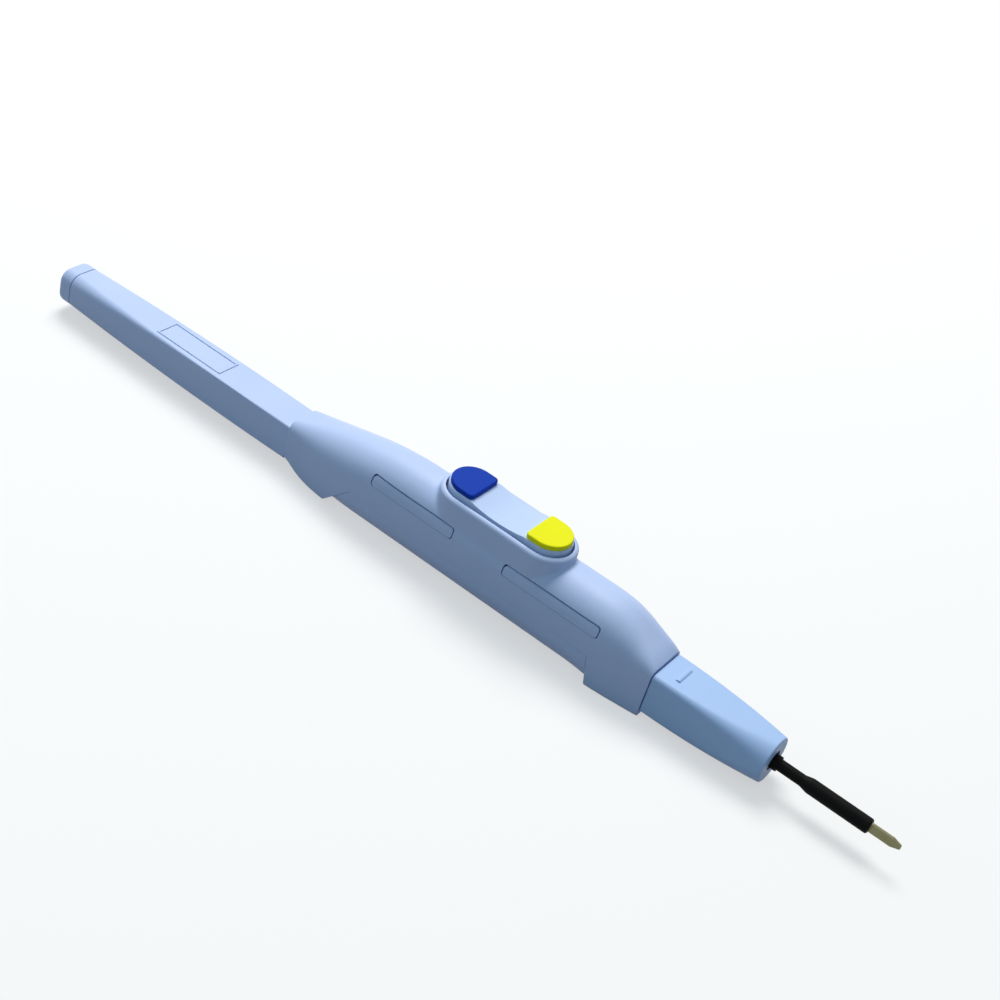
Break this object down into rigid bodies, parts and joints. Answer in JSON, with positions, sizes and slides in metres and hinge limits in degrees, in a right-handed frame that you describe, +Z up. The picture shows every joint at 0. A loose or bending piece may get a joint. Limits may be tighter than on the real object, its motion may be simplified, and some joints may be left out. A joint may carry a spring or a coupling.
{
  "type": "electrosurgical pencil",
  "caption": "Slim hand-held electrosurgical pencil with a square barrel, a bulged body with a rocker switch, a tapered nose and a pull-out blade electrode in a black sleeve.",
  "frame": {"origin": "on the surface that the pencil lies on, under the middle of its length", "axes": "+X along the handle towards the electrode's tip, +Z up through the rocker switch, +Y across"},
  "size_m": [0.2006, 0.0126, 0.0207],
  "materials": {
    "handle_abs": "satin moulded, light lavender blue",
    "nose_abs": "satin moulded, light blue",
    "rocker_abs": "satin moulded, light lavender blue",
    "yellow_cap": "semi-gloss lemon yellow",
    "blue_cap": "semi-gloss cobalt blue",
    "silicone": "translucent grey",
    "black_silicone": "matte black",
    "board_laminate": "green solder mask",
    "spring_steel": "bright",
    "brass": "turned and stamped",
    "stainless_steel": "ground, slightly warm",
    "black_insulation": "satin black",
    "white_lead": "extruded white",
    "yellow_lead": "extruded yellow",
    "blue_lead": "extruded blue"
  },
  "bodies": {
    "handle": {"body_housing": "handle_abs", "bottom_cover": "handle_abs", "barrel": "handle_abs", "rear_cap": "handle_abs", "nose_cone": "nose_abs", "tip_seal": "black_silicone", "switch_seal": "silicone", "switch_board": "board_laminate", "cut_dome": "spring_steel", "coag_dome": "spring_steel", "electrode_socket": "brass", "contact_strip": "brass", "active_lead": "white_lead", "cut_lead": "yellow_lead", "coag_lead": "blue_lead"},
    "rocker": {"rocker_plate": "rocker_abs", "cut_cap": "yellow_cap", "coag_cap": "blue_cap"},
    "electrode": {"blade_electrode": "stainless_steel", "electrode_sleeve": "black_insulation"}
  },
  "joints": [
    {"name": "rocker_tilt", "type": "hinge", "parent": "handle", "child": "rocker", "pos_m": [0.01215, 0, 0.0165], "axis": [0, 1, 0], "range_deg": [-2.5, 2.5], "stiffness_Nm_per_rad": 0.2},
    {"name": "electrode_pull", "type": "slide", "parent": "handle", "child": "electrode", "axis": [1, 0, 0], "range_m": [0, 0.026]}
  ]
}
